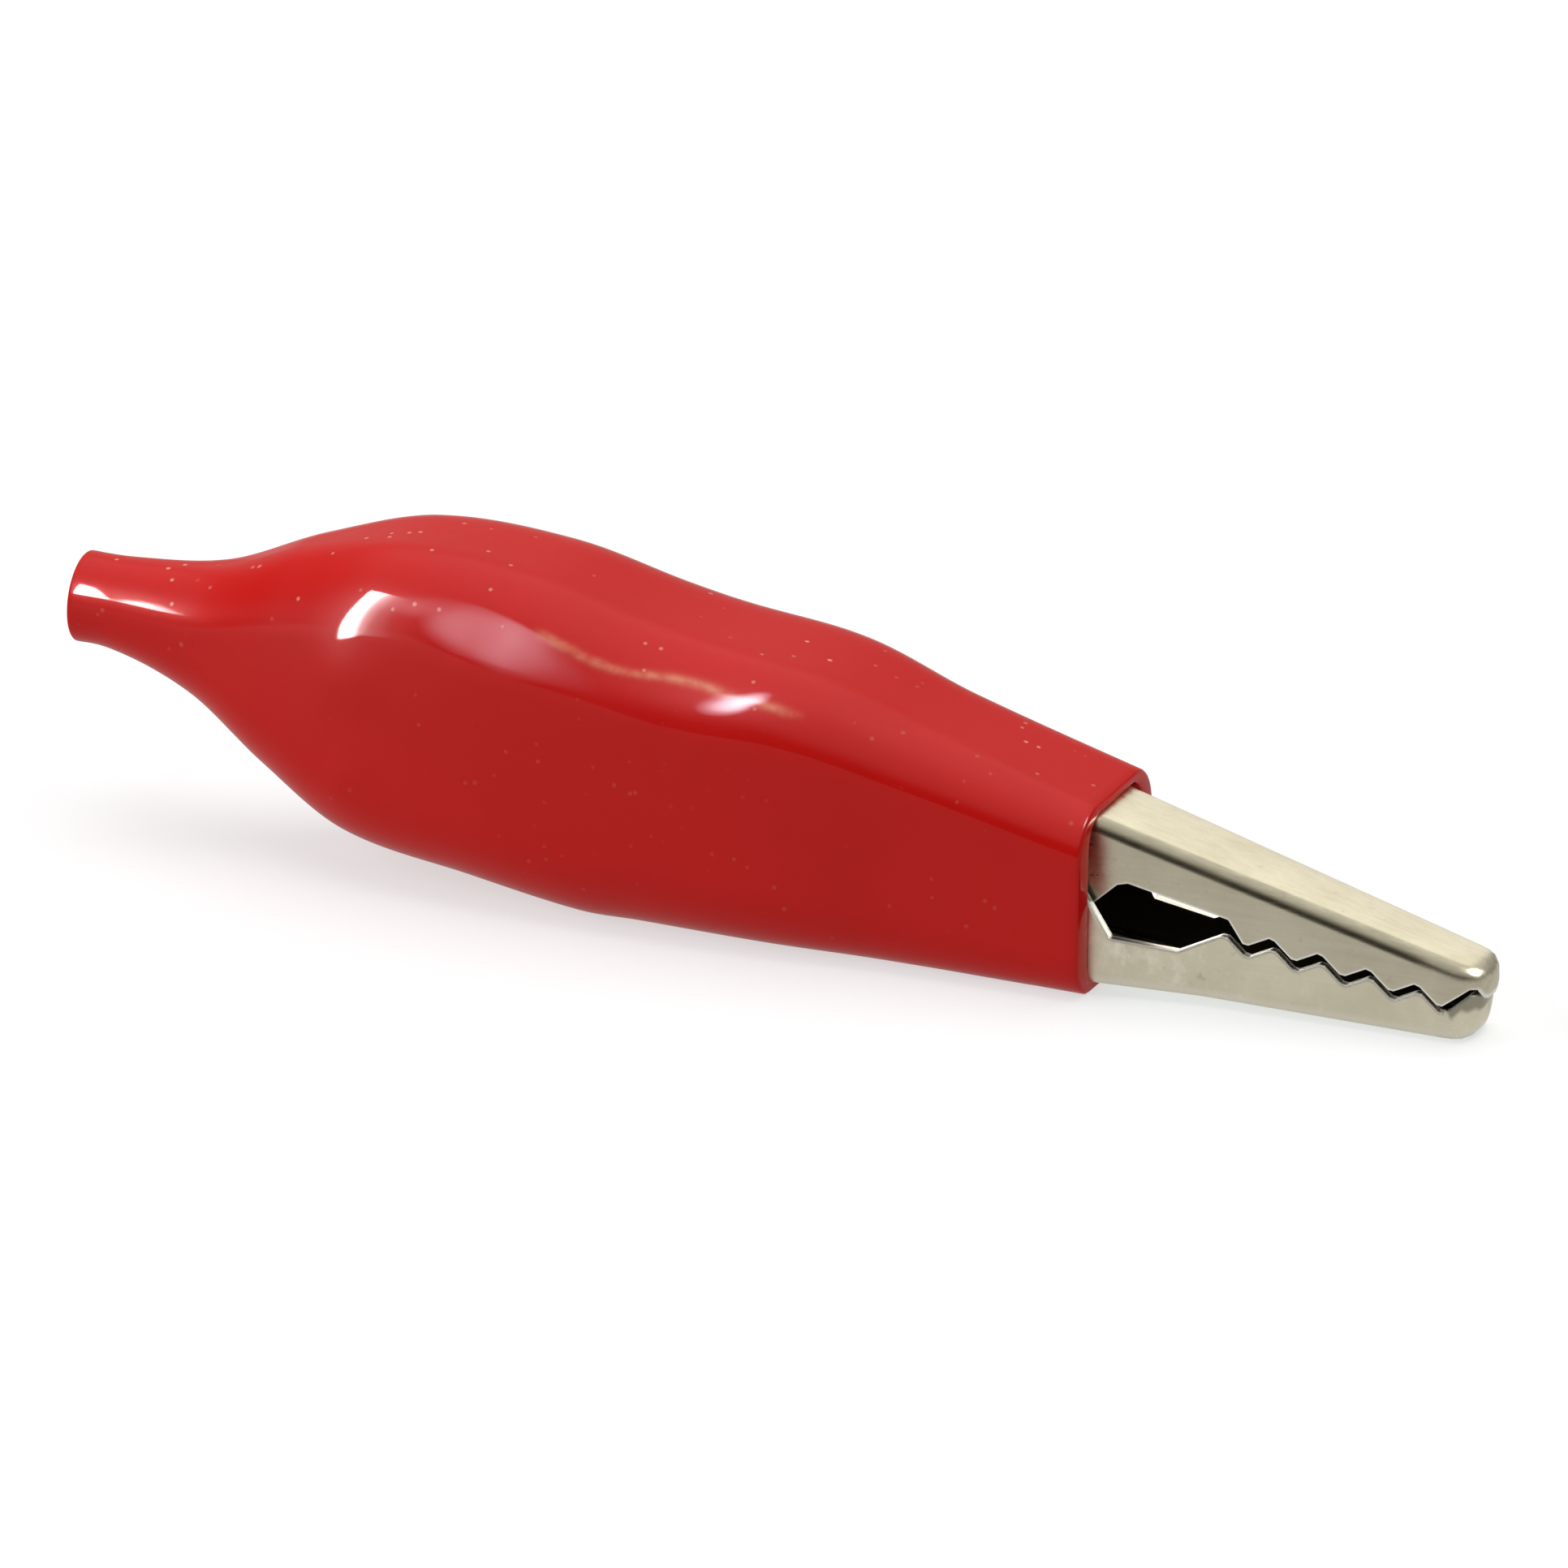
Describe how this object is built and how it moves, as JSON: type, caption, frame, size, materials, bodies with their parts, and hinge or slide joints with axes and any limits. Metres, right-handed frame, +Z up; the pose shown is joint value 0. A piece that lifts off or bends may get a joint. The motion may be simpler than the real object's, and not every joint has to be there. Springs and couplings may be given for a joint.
{
  "type": "crocodile clip",
  "caption": "Insulated crocodile clip with toothed sprung jaws, a riveted hinge, a screw and crimp lead terminal and a soft full boot with a narrow lead tail.",
  "frame": {"origin": "on the surface that the clip rests on, straight below the jaws' hinge, in the clip's middle plane", "axes": "+X along the clip towards the tips of the jaws, +Y across it, +Z up from the surface; the jaws point slightly down and the boot's tail is level"},
  "size_m": [0.0496, 0.0086, 0.0114],
  "materials": {
    "plated_steel": "bright nickel plating, lightly worn",
    "spring_steel": "drawn wire, satin",
    "vinyl": "soft glossy vinyl"
  },
  "bodies": {
    "fixed_jaw": {"lower_jaw": "plated_steel", "hinge_rivet": "plated_steel", "torsion_spring": "spring_steel", "terminal_screw": "plated_steel", "boot": "vinyl"},
    "moving_jaw": {"upper_jaw": "plated_steel"}
  },
  "joints": [
    {"name": "jaw_pivot", "type": "hinge", "parent": "fixed_jaw", "child": "moving_jaw", "pos_m": [0, 0, 0.00396], "axis": [0, -1, 0], "range_deg": [0, 20], "stiffness_Nm_per_rad": 0.1, "deforming": ["torsion_spring", "boot"]}
  ]
}
